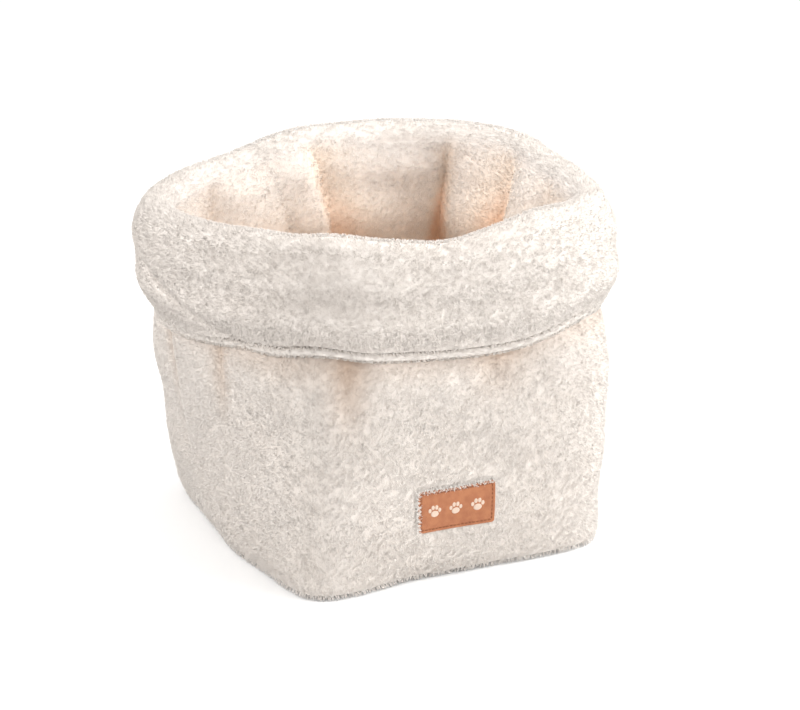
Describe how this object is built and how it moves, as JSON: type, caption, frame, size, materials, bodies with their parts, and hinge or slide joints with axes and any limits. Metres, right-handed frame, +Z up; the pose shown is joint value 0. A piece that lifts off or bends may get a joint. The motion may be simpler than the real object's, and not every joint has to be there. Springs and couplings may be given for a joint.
{
  "type": "plush storage basket",
  "caption": "Soft open-topped basket of cream plush with a square base, a fat rolled rim, a deep turned-down cuff and a small tan leather-look patch low on the front.",
  "frame": {"origin": "middle of the underside, on the surface that the basket stands on", "axes": "+Z up; the front wall, which bears the patch, faces -Y, and +X is to the right of someone who looks at it"},
  "size_m": [0.3544, 0.3544, 0.3002],
  "materials": {
    "outer_plush": "matte",
    "lining_plush": "matte",
    "wadding": "matte",
    "foam": "matte",
    "patch_leatherette": "satin",
    "thread": "matte"
  },
  "bodies": {
    "root": {"outer_front": "outer_plush", "outer_right": "outer_plush", "outer_back": "outer_plush", "outer_left": "outer_plush", "wadding_front": "wadding", "wadding_right": "wadding", "wadding_back": "wadding", "wadding_left": "wadding", "lining_front": "lining_plush", "lining_right": "lining_plush", "lining_back": "lining_plush", "lining_left": "lining_plush", "outer_base": "outer_plush", "base_foam": "foam", "lining_base": "lining_plush", "label_patch": "patch_leatherette", "label_stitching": "thread"}
  },
  "joints": []
}
